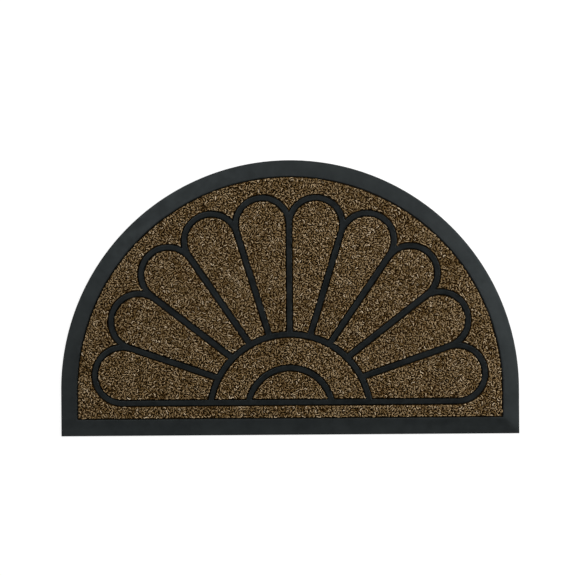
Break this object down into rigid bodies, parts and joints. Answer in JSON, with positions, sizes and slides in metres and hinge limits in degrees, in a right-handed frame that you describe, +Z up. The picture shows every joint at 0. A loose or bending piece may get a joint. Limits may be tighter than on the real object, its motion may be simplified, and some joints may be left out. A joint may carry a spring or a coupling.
{
  "type": "doormat",
  "caption": "Half-round doormat: a black moulded rubber tray with a sloped border and sunburst fan ribs around fields of short curled brown pile.",
  "frame": {"origin": "middle of the mat's box on the plane of its flat underside", "axes": "+X along the straight edge, +Y from the straight edge to the crown of the arch, +Z up out of the pile"},
  "size_m": [0.762, 0.457, 0.009],
  "materials": {
    "rubber": "satin moulded black rubber",
    "pile": "short curled pile, brown mixed with tan and black"
  },
  "bodies": {
    "root": {"rubber_tray": "rubber", "pile_petal_01": "pile", "pile_petal_02": "pile", "pile_petal_03": "pile", "pile_petal_04": "pile", "pile_petal_05": "pile", "pile_petal_06": "pile", "pile_petal_07": "pile", "pile_petal_08": "pile", "pile_petal_09": "pile", "pile_petal_10": "pile", "pile_hub_ring": "pile", "pile_hub_centre": "pile", "pile_surround": "pile"}
  },
  "joints": []
}
